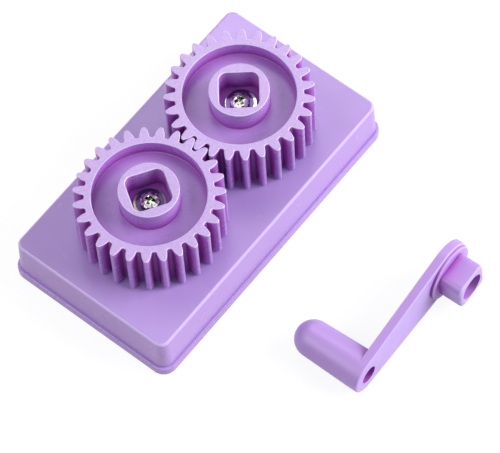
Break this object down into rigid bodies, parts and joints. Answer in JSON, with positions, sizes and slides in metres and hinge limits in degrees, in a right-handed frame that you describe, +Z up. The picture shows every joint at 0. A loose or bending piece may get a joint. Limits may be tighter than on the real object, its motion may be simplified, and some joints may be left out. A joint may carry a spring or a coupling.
{
  "type": "paper crimper with crank",
  "caption": "Hand cranked paper crimper: meshed toothed rollers on a low box base with a lipped bottom plate, and a loose crank with a square plug that fits either roller.",
  "frame": {"origin": "middle of the base's flat underside", "axes": "+Z up; +X along the base's long side, from the left gear to the right gear; the loose crank lies on the -Y side"},
  "size_m": [0.104, 0.1133, 0.037],
  "materials": {
    "base_shell": "moulded violet ABS, satin gloss",
    "bottom_plate": "moulded violet ABS, satin gloss",
    "left_gear": "moulded violet ABS, satin gloss",
    "right_gear": "moulded violet ABS, satin gloss",
    "crank": "moulded violet ABS, satin gloss",
    "bottom_plate_screws": "bright zinc plated",
    "left_gear_washer": "bright zinc plated",
    "right_gear_washer": "bright zinc plated",
    "left_gear_screw": "bright zinc plated",
    "right_gear_screw": "bright zinc plated"
  },
  "bodies": {
    "base": {"base_shell": "base_shell", "bottom_plate": "bottom_plate", "bottom_plate_screws": "bottom_plate_screws", "left_gear_washer": "left_gear_washer", "right_gear_washer": "right_gear_washer", "left_gear_screw": "left_gear_screw", "right_gear_screw": "right_gear_screw"},
    "left_gear": {"left_gear": "left_gear"},
    "right_gear": {"right_gear": "right_gear"},
    "crank": {"crank": "crank"}
  },
  "joints": [
    {"name": "left_gear_turn", "type": "hinge", "parent": "base", "child": "left_gear", "pos_m": [-0.0207, 0, 0.0169], "axis": [0, 0, 1], "continuous": true},
    {"name": "right_gear_turn", "type": "hinge", "parent": "base", "child": "right_gear", "pos_m": [0.0207, 0, 0.0169], "axis": [0, 0, 1], "continuous": true},
    {"name": "crank_lift", "type": "slide", "parent": "base", "child": "crank", "axis": [0, 0, 1], "range_m": [0, 0.06]}
  ],
  "couplings": [
    {"joint": "right_gear_turn", "follows": "left_gear_turn", "ratio": -1}
  ]
}
